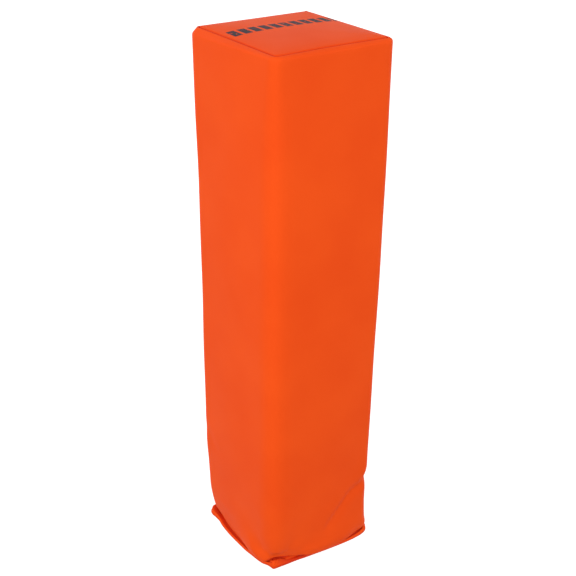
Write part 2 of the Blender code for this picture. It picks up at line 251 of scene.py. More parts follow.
# Plain woven polyester canvas: two sets of threads that go over and under each other, matt
def makeCanvas():
    c = canvasFinish
    material, tree, shader, _ = startMaterial("wovenCanvas", c)
    over = weaveHeight(tree, c["threadPitch"], 0.5)
    cloth = addNode(tree, "UVMap", uv_map="cloth")
    checks = addPattern(tree, "TexChecker", cloth, c["threadPitch"])["Fac"]
    colour = layColours(tree, c["colour"], (checks, c["weft"], 0.0, 1.0), (over, c["gap"], 0.3, 0.0))
    coverSurface(tree, shader, colour, (over, c["weaveDepth"], 1.0))
    return material


sandFinish = dict(
    colour="#C0A67C", dark="#7C6543", light="#E6D7B8", roughness=0.95, specular=0.3,
    grainSize=1.1, grainDepth=0.6,
)


# Dry washed sand: rounded grains of mixed quartz, so light, tan and dark specks side by side
def makeSand():
    s = sandFinish
    material, tree, shader, place = startMaterial("drySand", s)
    grains = addPattern(tree, "TexVoronoi", place, s["grainSize"])
    spots = addNode(tree, "SeparateColor", {0: grains["Color"]})
    away = grains["Distance"]
    colour = layColours(tree, s["dark"], (spots, s["light"], 0.1, 0.9), (away, s["colour"], 0.2, 0.9))
    coverSurface(tree, shader, colour, (away, -s["grainDepth"], 1.0))
    return material


nylonFinish = dict(
    colour="#1B1B1D", edge="#2C2C30", roughness=0.42, specular=0.5, threadSize=0.8, threadDepth=0.08
)


# Moulded nylon hooks on a woven tape: black, each hook with a small bright glint
def makeHookNylon():
    n = nylonFinish
    material, tree, shader, place = startMaterial("mouldedNylonHooks", n)
    weave = addPattern(tree, "TexNoise", place, n["threadSize"])["Fac"]
    colour = layColours(tree, n["colour"], (weave, n["edge"], 0.3, 0.7))
    coverSurface(tree, shader, colour, (weave, n["threadDepth"], 1.0))
    return material


pileFinish = dict(colour="#161617", tip="#38383C", roughness=0.85, specular=0.25, sheen=0.6, tuftSize=1.5)


# Brushed nylon loops: soft and matt, a shade lighter where the loops stand up
def makePile():
    p = pileFinish
    material, tree, shader, place = startMaterial("brushedNylonLoops", p)
    high = addPattern(tree, "TexNoise", place, p["tuftSize"], {"Detail": 4.0, "Roughness": 0.7})["Fac"]
    coverSurface(tree, shader, layColours(tree, p["colour"], (high, p["tip"], 0.35, 0.75)))
    return material


vinyl = makeVinyl("coatedVinyl")
printedVinyl = makeVinyl("printedVinyl", topPrint)
sewingThread = makeThread()
slabFoam = makeFoam()
canvas = makeCanvas()
drySand = makeSand()
hookNylon = makeHookNylon()
loopPile = makePile()
print("finishes made")


# A place round the object is a number: 0 is the back corner with the seam, 1 the left corner,
# 2 the front corner, 3 the right corner and 4 the back corner again.
signs = np.array(((-1, 1), (-1, -1), (1, -1), (1, 1)))
sideNormals = np.array(((-1, 0), (0, -1), (1, 0), (0, 1)))
nominalHalf = 53.6
nominalRadius = 8.0
arcLength = nominalRadius * math.pi / 2
sideLength = 2 * (nominalHalf - nominalRadius)
quarterLength = arcLength + sideLength


class Columns:
    # the columns of a mesh that goes round: corners are arcs, sides are straight. The back corner is
    # two half arcs, one at each end.
    def __init__(self, cornerSteps, *sideSteps):
        columns = []
        for k, start in enumerate((135.0, 180.0, 270.0, 0.0, 90.0)):
            steps, span = (cornerSteps, 90.0) if k in (1, 2, 3) else (cornerSteps // 2, 45.0)
            first = -0.5 if k > 0 else 0.0
            for i in range(steps + 1):
                turn = math.radians(start + span * i / steps)
                along = (first + (i / steps) * span / 90.0) * arcLength
                bend = math.sin(2 * turn) ** 2 if k == 2 else 0.0
                columns.append((k, along, 0.0, bend, math.cos(turn), math.sin(turn)))
            steps = sideSteps[k % len(sideSteps)] if k < 4 else 1
            for i in range(1, steps):
                along = arcLength / 2 + sideLength * i / steps
                columns.append((k, along, i / steps, 0.0, *sideNormals[k]))
        corner, along, share, bend, x, y = np.array(columns).T
        self.corner, self.share, self.bend = corner.astype(int), share[:, None], bend[:, None]
        self.places = corner + along / quarterLength
        self.normals = np.column_stack([x, y])

    # a rounded square, with one corner radius or four. The front corner can be soft, so that it
    # bends most in its middle and runs smoothly into both sides.
    def square(self, half, radius, soft=0.0):
        ends = []
        for k, bend in ((self.corner, self.bend), ((self.corner + 1) % 4, 0.0)):
            r = np.broadcast_to(radius, 4)[k % 4][:, None]
            ends.append(signs[k % 4] * (half - r) + self.normals * r * (1 + soft * bend))
        return ends[0] * (1 - self.share) + ends[1] * self.share


# The shares that two points and their two slopes have in a smooth step from one to the other
def stepShares(t):
    return 2 * t**3 - 3 * t**2 + 1, t**3 - 2 * t**2 + t, 3 * t**2 - 2 * t**3, t**3 - t**2


# A smooth curve through (place, value) pairs, which never overshoots them
def curveThrough(pairs, at):
    xs, ys = np.array(pairs, float).T
    slope = np.diff(ys) / np.diff(xs)
    rising = slope[:-1] * slope[1:] > 0
    total = np.where(rising, slope[:-1] + slope[1:], 1.0)
    tangent = np.zeros_like(ys)
    tangent[1:-1] = np.where(rising, 2 * slope[:-1] * slope[1:] / total, 0.0)
    i = np.clip(np.searchsorted(xs, at, side="right") - 1, 0, len(xs) - 2)
    h = xs[i + 1] - xs[i]
    a, b, c, d = stepShares(np.clip((at - xs[i]) / h, 0, 1))
    return a * ys[i] + b * h * tangent[i] + c * ys[i + 1] + d * h * tangent[i + 1]


# Rows of points between rings, on a smooth curve down each column
def fillRows(rings, steps):
    keys = np.array(rings)
    length = np.maximum(np.linalg.norm(np.diff(keys, axis=0), axis=2), 1e-6)[:, :, None]
    rows, last = [], len(keys) - 1
    for k in range(last):
        p1, p2, d1 = keys[k], keys[k + 1], length[k]
        m1 = (p2 - keys[k - 1]) / (length[k - 1] + d1) * d1 if k > 0 else p2 - p1
        m2 = (keys[k + 2] - p1) / (d1 + length[k + 1]) * d1 if k < last - 1 else p2 - p1
        for t in np.arange(steps[k]) / steps[k]:
            a, b, c, d = stepShares(t)
            rows.append(a * p1 + b * m1 + c * p2 + d * m2)
    return np.array(rows + [keys[-1]])


# A plan at a height, and a level ring of a rounded square, in mm
def atHeight(plan, z):
    return np.column_stack([plan, np.broadcast_to(z, len(plan))])


def ringAt(columns, half, radius, z):
    return atHeight(columns.square(half, radius), z)


# A closed grid from rows of (half width, corner radius, height, rows to the next one)
def levelGrid(columns, rows):
    return fillRows([ringAt(columns, *row[:3]) for row in rows], [row[3] for row in rows])[:, :-1]


# A grid from rows of (ring, rows to the next one, painted shade from 0 to 1), and the painted
# shade of each of its points
def gridWithPaintedShade(rows):
    grid = fillRows([row[0] for row in rows], [row[1] for row in rows])
    shades = []
    for (ring, count, paintedShade), (_, _, following) in zip(rows[:-1], rows[1:]):
        for share in np.arange(count) / count:
            shades.append(np.broadcast_to(paintedShade * (1 - share) + following * share, len(ring)))
    shades.append(np.broadcast_to(rows[-1][2], len(rows[-1][0])))
    return grid, np.array(shades)


# A mesh from a grid of points in mm, whose rows go down and whose columns go round anticlockwise.
# A pole closes it at the height given. Its map named cloth runs in metres along both, as the
# threads of the cloth do.
def gridMesh(grid, joined=True, highPole=None, lowPole=None):
    rows, cols = grid.shape[:2]
    across, down = np.zeros((rows, cols)), np.zeros((rows, cols))
    across[:, 1:] = np.cumsum(np.linalg.norm(np.diff(grid, axis=1), axis=2).mean(axis=0))[None, :]
    down[1:] = np.cumsum(np.linalg.norm(np.diff(grid, axis=0), axis=2).mean(axis=1))[:, None]
    verts = [tuple(v) for v in grid.reshape(-1, 3) * mm]
    uvs = [tuple(v) for v in np.stack([across, -down], axis=2).reshape(-1, 2) * mm]
    faces = []
    for r in range(rows - 1):
        for c in range(cols if joined else cols - 1):
            n = (c + 1) % cols
            faces.append((r * cols + c, (r + 1) * cols + c, (r + 1) * cols + n, r * cols + n))
    for pole, row, order in ((highPole, 0, 1), (lowPole, rows - 1, -1)):
        if pole is None:
            continue
        verts.append((0.0, 0.0, pole * mm))
        uvs.append(uvs[row * cols])
        for c in range(cols):
            ends = (row * cols + c, row * cols + (c + 1) % cols)
            faces.append((len(verts) - 1, *ends[::order]))
    mesh = bpy.data.meshes.new("grid")
    mesh.from_pydata(verts, [], faces)
    layer = mesh.uv_layers.new(name="cloth")
    corners = np.zeros(len(mesh.loops), int)
    mesh.loops.foreach_get("vertex_index", corners)
    layer.data.foreach_set("uv", np.array(uvs)[corners].ravel())
    mesh.shade_smooth()
    return mesh


# Lays the map of a level sheet flat over it
def layMapFlat(mesh):
    for loop, uv in zip(mesh.loops, mesh.uv_layers["cloth"].data):
        uv.uv = mesh.vertices[loop.vertex_index].co.xy


# Stores the painted shade of each point of a mesh, which darkens the vinyl's colour
def paintShade(mesh, paintedShade):
    mesh.attributes.new("paintedShade", "FLOAT", "POINT").data.foreach_set("value", np.ravel(paintedShade))


# Makes a piece of a mesh, named after the node that it stands for: cover_wrap gives coverWrap
def addPiece(node, mesh, material, body="cover"):
    first, *others = node.split("_")
    mesh.name = first + "".join(word.capitalize() for word in others)
    mesh.materials.clear()
    mesh.materials.append(material)
    piece = bpy.data.objects.new(mesh.name, mesh)
    scene.collection.objects.link(piece)
    if body:
        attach(piece, body)
    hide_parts(node)
    return piece


# Gives cloth its thickness, inwards from its outer face
def giveThickness(piece, thickness):
    wall = piece.modifiers.new("cloth", "SOLIDIFY")
    wall.thickness = thickness * mm
    wall.offset = -1


# The wrap is one piece of cloth: seam allowance inside the top, sloping border, walls, loose foot,
# folded rim, the step round the opening and the hem. All lengths in mm.
wrapSize = dict(
    cornerSteps=20,
    sideSteps=(44, 56, 60, 40),  # from the back corner round, closest on the sides with folds
    cloth=0.8,
    topSeam=448.0,  # the height that the tables of the top seam start from
    sideFullness=0.5,  # how far the walls stand out between their corners
    softness=0.1,  # of the front corner, 0 for a plain arc
    seamGrip=1.2,  # depth of the groove along the back seam
    seamRoll=0.55,
    seamAllowance=8.0,
    puckerPitch=9.0,
    puckerDepth=0.22,
    restHeight=4.5,  # of the walls' lowest fold where it rests on the rim
    pleatPitch=3.4,
    pleatDepth=0.35,
    flapGap=0.3,
    flapRadius=12.7,
)

# (height, how far the back, left, front and right corners are drawn in, radius of the front corner,
# rows to the next one)
wallRings = (
    (440, (-0.3, -1.4, 0, 0.1), 11, 8),
    (390, (-0.2, -0.9, 0, -0.3), 17, 12),
    (310, (0, 0, 0, -0.5), 19, 9),
    (230, (0.2, 0.4, 0, -0.2), 20, 9),
    (150, (0.2, 0.1, 0, 0.3), 20.5, 12),
    (90, (0.4, 0, 0.1, 0.9), 21.5, 12),
)

# (place, how far the cloth folds over the top edge below its seam), sides and corners in turn
topFoldDrop = (
    (0, 0.6), (0.5, 0.7), (0.93, 1.6), (1.07, 1.6), (1.5, 0.8), (2, 0.2),
    (2.5, 0.5), (2.93, 0.15), (3.07, 0.15), (3.5, 0.6), (4, 0.6),
)

# (place, how far the top seam is drawn in between its corners)
seamSag = (
    (0, 0), (0.5, 0.6), (1, 0), (1.5, 0.4), (2, 0),
    (2.45, 0.7), (3, 0.3), (3.5, 0.6), (4, 0),
)

# (place, how far the top seam is lifted): the top leans a little to the front corner
seamRise = (
    (0, 1.7), (0.5, 1.8), (1, 1.7), (1.5, 0.85), (2, 0.3),
    (2.5, 0.75), (3, 0.7), (3.5, 1.35), (4, 1.7),
)

# (place, x, y, height) of the lowest fold of the walls, where they turn in over the rim
wallFold = (
    (0, -45.5, 45.5, 6), (0.1, -50.2, 40.6, 4.8), (0.3, -52.4, 20.7, 4.2), (0.5, -53.2, 0, 4),
    (0.7, -52.6, -20.7, 4.2), (0.88, -51, -37, 4.9), (0.95, -49.8, -41.3, 5.4), (1, -46.6, -43.4, 5.5),
    (1.07, -40.8, -45.1, 4.8), (1.16, -32.3, -46.8, 4.5), (1.25, -23.1, -48.6, 4.5), (1.36, -12.4, -49.9, 4.5),
    (1.46, -2.8, -50.6, 5), (1.54, 5, -51.2, 5.1), (1.63, 13.6, -52.3, 5.1), (1.7, 20, -53, 5.1),
    (1.77, 26.6, -53, 5.2), (1.84, 33, -52.2, 5.2), (1.89, 37.4, -51.2, 6.4), (1.925, 40, -49.6, 8.8),
    (1.955, 41.3, -48, 10.5), (2, 43.3, -42.7, 11.3), (2.06, 45.3, -38.9, 11.5), (2.12, 46.9, -34.6, 11),
    (2.22, 50.2, -25, 9.4), (2.28, 52.2, -19, 8.2), (2.34, 53.6, -14.5, 7), (2.42, 54.6, -8, 5.6),
    (2.5, 55.1, 0, 5.2), (2.58, 55.4, 8.5, 4.8), (2.654, 55.4, 16, 4.6), (2.706, 55.7, 21.4, 4.8),
    (2.77, 55.2, 28, 5.3), (2.84, 54.1, 35.3, 5.8), (2.91, 52.9, 42.5, 6.1), (2.957, 52.5, 47.8, 6.2),
    (3, 50.7, 51.3, 6.4), (3.05, 46.8, 52.5, 5.2), (3.15, 36, 52.8, 4.5), (3.3, 20.7, 53.4, 4.1),
    (3.5, 0, 53.8, 4), (3.7, -20.7, 53, 4.1), (3.88, -38, 50.6, 4.8), (4, -45.5, 45.5, 6),
)

# (place, x, y, thickness) of the rim's outermost line
rimNose = (
    (0, -49.6, 49.6, 5.4), (0.05, -50.8, 45.5, 4), (0.15, -50.8, 36, 3), (0.3, -51.6, 20.7, 2.7),
    (0.5, -52.6, 0, 2.6), (0.7, -51.8, -20.7, 2.8), (0.86, -51.6, -37, 3.4), (0.94, -52, -44, 5.2),
    (0.985, -51.2, -48.2, 5.9), (1.01, -49.3, -50.2, 5.9), (1.05, -45.2, -50.8, 5), (1.085, -41.3, -50.4, 4),
    (1.145, -35.8, -50.4, 3.2), (1.2, -28.9, -51.7, 2.9), (1.26, -22.4, -52.4, 2.8), (1.385, -10.9, -53, 2.7),
    (1.51, 2, -52.9, 2.6), (1.6, 10.5, -52.7, 2.6), (1.7, 20.5, -51.6, 2.6), (1.8, 29.5, -50.5, 2.8),
    (1.85, 34.2, -49.4, 3), (1.9, 38.3, -47.3, 3.6), (1.95, 41.6, -46.5, 4.4), (1.99, 44.7, -46, 5.2),
    (2.01, 45.6, -45, 5.4), (2.055, 46.4, -39.5, 4.4), (2.13, 47.4, -31.3, 3.2), (2.21, 48.2, -23.2, 2.6),
    (2.3, 49.6, -14.4, 2.5), (2.4, 51, -4, 2.7), (2.52, 52.6, 7.6, 2.6), (2.65, 53.8, 18.6, 2.6),
    (2.75, 54.7, 28.6, 2.7), (2.82, 55, 35.6, 2.9), (2.895, 54.8, 42, 3.4), (2.95, 54, 47.7, 4.6),
    (2.99, 52.5, 51.6, 7), (3.01, 51.6, 52.6, 7.4), (3.05, 48, 53, 5.2), (3.12, 41, 52.8, 3.5),
    (3.3, 20.7, 53.2, 2.7), (3.5, 0, 53.4, 2.6), (3.7, -20.7, 52.6, 2.7), (3.86, -37, 51.4, 3.2),
    (3.95, -45.8, 51, 4.2), (4, -49.6, 49.6, 5.4),
)

# (place, how far the rim draws back under the wall)
rimRecess = ((0, 0), (2, 0), (2.06, 1.2), (2.14, 2.6), (2.26, 2.6), (2.36, 0.8), (2.44, 0), (4, 0))

# (place, how much the rim's cloth is pushed up under the walls' fold, where that fold is lifted)
rimRise = ((0, 0), (1.88, 0), (1.94, 0.9), (2.02, 1), (2.08, 0.85), (2.16, 0.35), (2.26, 0), (4, 0))

# (height, how far it follows the lift of the fold, rows to the next ring, corner radii,
# (place, inset) pairs) of the loose foot
footRings = (
    (55, 0.0, 14, (9.5, 10, 23, 9), (
        (0, 0.6), (0.5, -0.4), (1, 1.2), (1.5, -0.2), (2, 0.3), (2.5, -0.4), (3, 1.2), (3.5, -0.3), (4, 0.6),
    )),
    (31, 0.25, 9, (12, 13, 22, 10), (
        (0, 1), (0.5, -0.3), (1, 1.35), (1.3, 0.8), (1.6, 0), (2, 1.8),
        (2.3, -0.1), (2.6, -0.9), (3, 0.8), (3.5, -0.4), (4, 1),
    )),
    (16.5, 0.55, 7, (14, 16, 20, 10), (
        (0, 2.2), (0.5, -0.4), (1, 2.8), (1.3, 2.2), (1.6, 0.2), (1.77, -0.5), (2, 4),
        (2.2, 0.9), (2.4, -1), (2.7, -2.2), (2.9, -1), (3, -0.1), (3.5, -0.7), (4, 2.2),
    )),
)

# (side, width, line of the fold as (distance along the side from its middle, height, depth))
wallCreases = (
    (2, 3.9, (
        (62, 71, 0), (53, 68.2, 1.9), (46, 63.6, 2.1), (41, 60.4, 2.3), (36, 59.3, 2.3),
        (32, 58.4, 2.3), (24, 54.3, 2.3), (16, 47.4, 2.2), (8, 40.8, 1.8), (0, 33.6, 1.3),
        (-8, 26, 0),
    )),
    (1, 4.2, ((-58, 110, 0), (-46, 104, 0.5), (-32.8, 94, 0.5), (-20, 87.5, 0))),
    (3, 5, ((-60, 68, 0), (-46, 76, 0.7), (-36, 79, 0.5), (-20, 79, 0))),
    (0, 6, ((-16, 34, 0), (6, 47, 0.7), (22, 58, 0.7), (40, 67, 0))),
)

wrapColumns = Columns(wrapSize["cornerSteps"], *wrapSize["sideSteps"])


def wallInset(insets, places):
    pairs = [(k, insets[k % 4]) for k in range(5)]
    pairs += [(k + 0.5, (insets[k] + insets[(k + 1) % 4]) / 2 - wrapSize["sideFullness"]) for k in range(4)]
    return curveThrough(sorted(pairs), places)


# A ring of the top seam, drawn in and lifted by a share of what the tables say
def seamRing(columns, half, radius, z, share=1.0):
    ring = ringAt(columns, half, radius, z)
    ring[:, :2] -= columns.normals * (curveThrough(seamSag, columns.places) * share)[:, None]
    ring[:, 2] += curveThrough(seamRise, columns.places) * share
    return ring


# Up the seam allowance, over the seam's edge, down the sloping border and over the top fold
def topEdge(c):
    rows = []
    seam = wrapSize["topSeam"]
    # the last number of each row is painted shade, darkest in the seam's groove
    for below, inset, radius, share, count, paintedShade in (
        (7.0, 4.2, 4.2, 0.0, 4, 0.5),
        (1.8, 4.2, 3.2, 1.0, 3, 1.0),
        (0.9, 4.05, 3.0, 1.0, 2, 0.9),
        (0.25, 3.5, 3.2, 1.0, 2, 0.4),
        (0.15, 2.9, 3.8, 1.0, 3, 0.0),
    ):
        rows.append((seamRing(c, nominalHalf - inset, radius, seam - below, share), count, paintedShade))
    wallTop = wallInset(wallRings[0][1], c.places)
    drop = curveThrough(topFoldDrop, c.places)
    for below, inset, radius, wallShare, dropShare in (
        (0.25, 1.9, 5.4, 0.5, 0.4),
        (0.7, 0.8, 6.8, 0.85, 0.8),
        (1.5, 0.18, 7.7, 1.0, 1.0),
        (3.0, 0.0, 8.0, 1.0, 1.0),
    ):
        ring = seamRing(c, nominalHalf - inset, radius, seam - below, 0.9 * (1 - wallShare))
        ring[:, :2] -= c.normals * (wallTop * wallShare)[:, None]
        ring[:, 2] -= drop * dropShare
        rows.append((ring, 3, 0.0))
    return rows


def walls(c):
    rows = []
    for z, insets, front, count in wallRings:
        radii = (nominalRadius, nominalRadius, front, nominalRadius)
        plan = c.square(nominalHalf, radii, wrapSize["softness"])
        rows.append((atHeight(plan - c.normals * wallInset(insets, c.places)[:, None], z), count, 0.0))
    return rows


# The loose foot, its lowest fold, the pocket behind that, and the folded rim
def looseFoot(c):
    w, n, rows = wrapSize, c.normals, []
    foldX, foldY, foldZ = (curveThrough([(p[0], p[k]) for p in wallFold], c.places) for k in (1, 2, 3))
    noseX, noseY, thick = (curveThrough([(p[0], p[k]) for p in rimNose], c.places) for k in (1, 2, 3))
    fold, nose = np.column_stack([foldX, foldY]), np.column_stack([noseX, noseY])
    foldOut, noseOut = (fold * n).sum(axis=1), (nose * n).sum(axis=1)
    lifted = foldZ - w["restHeight"]  # more than 0 where the wall's edge stands clear of the rim
    clear = np.maximum(lifted, 0)

    # the last number of a ring is painted shade, from 0 to 1
    def add(plan, z, count, paintedShade=0.0):
        rows.append((atHeight(plan, z), count, paintedShade))

    # the fold's plan moved in or out to a distance from the middle of the object
    def foldAt(out):
        return fold + n * (out - foldOut)[:, None]

    for z, follow, count, radii, pairs in footRings:
        low = c.square(nominalHalf, radii, w["softness"]) - n * curveThrough(pairs, c.places)[:, None]
        add(low, z + follow * lifted, count)
    add(fold * 0.62 + low * 0.38 + n * 0.7, foldZ + 5.0, 5)
    add(fold + n * 0.3, foldZ + 1.5, 4)
    add(fold, foldZ, 3)
    # painted shade: from just under the fold, darkest through the pocket, a little less on the rim's floor
    add(fold - n * 0.9, foldZ - 0.8, 3, 0.4)
    # the pocket is deeper where the fold is lifted
    pocket = foldAt(np.minimum(foldOut - 2.6 - 0.4 * clear, noseOut - 3.3))
    add(pocket, foldZ * 0.72, 2, 1.0)
    add(pocket + n * 0.05, foldZ * 0.72 - 0.6 - 0.13 * clear, 2, 1.0)
    rise, recess = (curveThrough(table, c.places) for table in (rimRise, rimRecess))
    floor = foldAt(np.minimum(foldOut + 0.1 - 0.9 * rise, noseOut - 1.5 - recess))
    add((pocket + floor) / 2, 2.1 + 3.8 * np.clip((foldZ - 5.0) / 5.0, 0, 1), 2, 1.0)
    add(floor, 1.8 + 0.35 * np.maximum(thick - 2.8, 0) + 3.4 * rise, 3, 0.85)
    # the shoulder of the rim, gathered in small pleats where it is pushed up
    pleats = w["pleatDepth"] * rise * np.sin(c.places * quarterLength * 2 * math.pi / w["pleatPitch"])
    shoulderOut = (noseOut - 1.35) * (1 - rise) + np.minimum(foldOut + 0.5, noseOut - 1.0) * rise
    shoulderZ = (thick - 0.12) * (1 - rise) + (foldZ - 2.9) * rise
    add(foldAt(shoulderOut - 0.8 * recess + pleats), shoulderZ + pleats, 3, 0.3 + 0.2 * recess)
    # round the outermost line, which is fuller in the ears at the corners
    ear = np.clip((thick - 3.4) / 2.2, 0, 1) * (1 - rise)
    # painted shade on the rim's outer line where it draws back under the wall
    shadeUnderWall = np.minimum(0.32 * recess, 0.85)
    add(nose - n * (0.8 - 0.3 * pleats)[:, None], thick * (1 - 0.2 * ear) + 0.5 * pleats, 3, shadeUnderWall)
    add(nose - n * 0.25, thick * (0.78 - 0.2 * ear), 2, shadeUnderWall)
    add(nose, thick * (0.45 - 0.1 * ear), 2, np.minimum(shadeUnderWall + 0.3, 1.0))
    # painted shade along the rim's lowest edge, next to the ground
    add(nose - n * 0.12, 0.45, 2, 0.7)
    add(nose - n * 0.8, 0.0, 2, 0.9)
    return rows


# The step round the opening and the hem, at the heights where the frame has them
def openingStep(c):
    gap, radius = wrapSize["flapGap"], wrapSize["flapRadius"]
    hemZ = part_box("loop_tape_front")[1].z / mm + gap
    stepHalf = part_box("base_flap")[1].x / mm + gap
    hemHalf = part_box("hook_tape_right")[0].x / mm - 1.0
    rows = (
        (stepHalf + gap, radius + 0.2, 0.0, 2),
        (stepHalf, radius, gap, 3),
        (stepHalf, radius, hemZ - gap, 2),
        (stepHalf - gap, radius - 0.2, hemZ, 6),
        (hemHalf, 8.0, hemZ, 1),
    )
    # each ring with a little painted shade
    return [(ringAt(c, *row[:3]), row[3], 0.3) for row in rows]


# How far above a line of points each grid point is, and the line's depth beside it
def besideLine(line, s, z):
    points = np.array(line)
    best = np.full(s.shape, np.inf)
    above, depth = np.zeros(s.shape), np.zeros(s.shape)
    for a, b in zip(points[:-1], points[1:]):
        d = b - a
        t = np.clip(((s - a[0]) * d[0] + (z - a[1]) * d[1]) / (d[0] ** 2 + d[1] ** 2), 0, 1)
        dx, dz = s - a[0] - t * d[0], z - a[1] - t * d[1]
        gap = np.hypot(dx, dz)
        closer = gap < best
        best = np.where(closer, gap, best)
        above = np.where(closer, gap * np.sign(dz * abs(d[0]) - dx * d[1] * np.sign(d[0])), above)
        depth = np.where(closer, a[2] + t * d[2], depth)
    return above, depth


# Moves the points of a grid out along the normals of their columns
def pushOut(grid, normals, out):
    return grid + np.dstack([normals[None, :, :] * out[:, :, None], np.zeros(out.shape)])


# Slack folds of the walls: a low crest above the line, a valley below it, and both die away softly
def pressCreases(grid, c):
    z = grid[:, :, 2]
    out = np.zeros(z.shape)
    for side, width, line in wallCreases:
        along = np.broadcast_to((c.places - side - 0.5) * quarterLength, z.shape)
        above, depth = besideLine(line, along, z)
        crest = np.exp(-(((above - width) / (width * np.where(above > width, 2.4, 0.9))) ** 2))
        valley = np.exp(-(((above + width) / (width * np.where(above < -width, 1.8, 0.9))) ** 2))
        out += np.where(z < 140, depth * (0.25 * crest - 0.8 * valley), 0.0)
    return pushOut(grid, c.normals, out)


relaxedCloth = dict(low=14.0, high=440.0, wide=0.45, small=0.35)


# Gentle unevenness of cloth over foam, with small waves too in the loose foot
def relaxCloth(grid, c):
    r = relaxedCloth
    push = np.zeros(grid.shape[:2])
    for i, j in np.argwhere((grid[:, :, 2] >= r["low"]) & (grid[:, :, 2] <= r["high"])):
        x, y, z = grid[i, j]
        foot = min(max((95.0 - z) / 60.0, 0.0), 1.0)
        ends = min((z - r["low"]) / 16.0, 1.0, (r["high"] - z) / 10.0)
        wide = noise.noise(Vector((x / 48, y / 48, z / 75)))
        small = noise.noise(Vector((x / 21 + 7, y / 21, z / 17)))
        push[i, j] = ends * (wide * r["wide"] + small * r["small"] * foot)
    return pushOut(grid, c.normals, push)


# Rolls both ends of the wrap into the groove of the back seam and turns their allowances in
def closeBackSeam(grid, paintedShade, c):
    w = wrapSize
    z, height = grid[:, :, 2], grid[:, 0, 2]
    inWall = np.clip((height - 12) / 8, 0, 1) * np.clip((444 - height) / 3, 0, 1)
    distance = np.linalg.norm(grid[:, :, :2] - grid[:, :1, :2], axis=2)
    pucker = 0.5 + 0.5 * np.cos(2 * math.pi * z / w["puckerPitch"] + 0.9 * np.sin(z / 23))
    near = np.exp(-((distance / 4.0) ** 2)) * w["puckerDepth"] * pucker
    roll = np.exp(-((distance / 0.9) ** 2)) * w["seamRoll"]
    grid = pushOut(grid, c.normals, -(near + roll) * inWall[:, None])
    # (how deep it goes, how far it is from the other end) of the turned in cloth
    flat = [(deep, 0.1) for deep in (w["seamAllowance"], 4.0, w["seamGrip"] + 0.5)]
    turnedIn = (*flat, (0.75, 0.14), (0.25, 0.34))
    out = np.array((-1.0, 1.0)) / math.sqrt(2)
    strips = []
    for end, sign in ((0, -1.0), (-1, 1.0)):
        side = np.array((sign, sign)) / math.sqrt(2)
        strip = []
        for deep, wide in turnedIn:
            p = grid[:, end].copy()
            p[:, :2] += side * wide - out * (deep * (0.06 + 0.94 * inWall))[:, None]
            # where the cloth lies on the ground its allowance lies on it
            p[:, 2] = np.where(p[:, 2] < 0.6, w["cloth"] + 0.1, p[:, 2])
            strip.append(p)
        strips.append(strip)
    left, right = np.stack(strips[0], axis=1), np.stack(strips[1][::-1], axis=1)
    # painted shade on the turned in allowances, darkest the deeper they go in, fading out above and below the
    # walls
    edge = np.array((1.0, 1.0, 0.8, 0.4, 0.1)) * inWall[:, None]
    paintedShade = np.concatenate([edge, paintedShade[:, 1:-1], edge[:, ::-1]], axis=1)
    return np.concatenate([left, grid[:, 1:-1], right], axis=1), paintedShade


def buildWrap():
    c = wrapColumns
    grid, paintedShade = gridWithPaintedShade(topEdge(c) + walls(c) + looseFoot(c) + openingStep(c))
    grid, paintedShade = closeBackSeam(relaxCloth(pressCreases(grid, c), c), paintedShade, c)
    grid[:, :, 2] = np.maximum(grid[:, :, 2], 0.0)
    mesh = gridMesh(grid, joined=False)
    paintShade(mesh, paintedShade)
    piece = addPiece("cover_wrap", mesh, vinyl)
    giveThickness(piece, wrapSize["cloth"])
    print("coverWrap:", grid.shape[0], "rows of", grid.shape[1])


# In mm, as the sizes of all pieces are
panelSize = dict(half=49.2, radius=4.0, crown=451.9, cloth=0.8)
foamSize = dict(half=51.4, radius=12.0, low=78.0, high=447.3)


def buildTopPanel():
    p = panelSize
    c = Columns(8, 44)
    rows = []
    # the last number is painted shade, dark where the panel's edge curls down into the seam
    for half, radius, z, count, paintedShade in (
        (4.0, 3.9, p["crown"], 4, 0.0),
        (14.0, 7.0, p["crown"] - 0.15, 6, 0.0),
        (28.0, 7.0, p["crown"] - 0.75, 6, 0.0),
        (38.0, 4.5, 450.3, 6, 0.0),
        (44.5, 3.2, 449.3, 4, 0.0),
        (47.6, 2.9, 448.6, 3, 0.0),
        (48.6, 2.9, 448.2, 2, 0.25),
        (49.1, 3.0, 447.3, 2, 0.9),
        (p["half"], 3.0, 446.2, 3, 1.0),
        (p["half"], p["radius"], 441.0, 1, 1.0),
    ):
        # it leans as the seam does, less towards its middle, and its lowest edge is level
        lean = 0.0 if z < 445 else min(half / 47.0, 1.0) ** 3
        rows.append((seamRing(c, half, radius, z, lean), count, paintedShade))
    grid, paintedShade = gridWithPaintedShade(rows)
    mesh = gridMesh(grid[:, :-1], highPole=p["crown"])
    layMapFlat(mesh)
    paintShade(mesh, np.append(paintedShade[:, :-1], 0.0))
    piece = addPiece("top_panel", mesh, printedVinyl)
    giveThickness(piece, p["cloth"])


def buildFoam():
    f = foamSize
    half, radius, top, low = f["half"], f["radius"], f["high"], f["low"]
    rows = (
        (6.0, 3.0, top, 4),
        (30.0, 5.0, top, 3),
        (46.4, 5.0, top, 2),
        (48.0, 5.5, top - 0.6, 2),
        (half, radius, top - 5.0, 40),
        (half, radius, low + 2.0, 2),
        (half - 1.2, radius, low + 0.4, 2),
        (half - 3.0, radius, low, 3),
        (30.0, 5.0, low, 4),
        (6.0, 3.0, low, 1),
    )
    mesh = gridMesh(levelGrid(Columns(8, 16), rows), highPole=top, lowPole=low)
    addPiece("foam_core", mesh, slabFoam)


buildWrap()
buildFoam()
buildTopPanel()
print("cover and foam made")


bagSize = dict(cloth=0.6, top=77.3, seam=37.65, bottom=1.3, press=3.0, give=1.3)

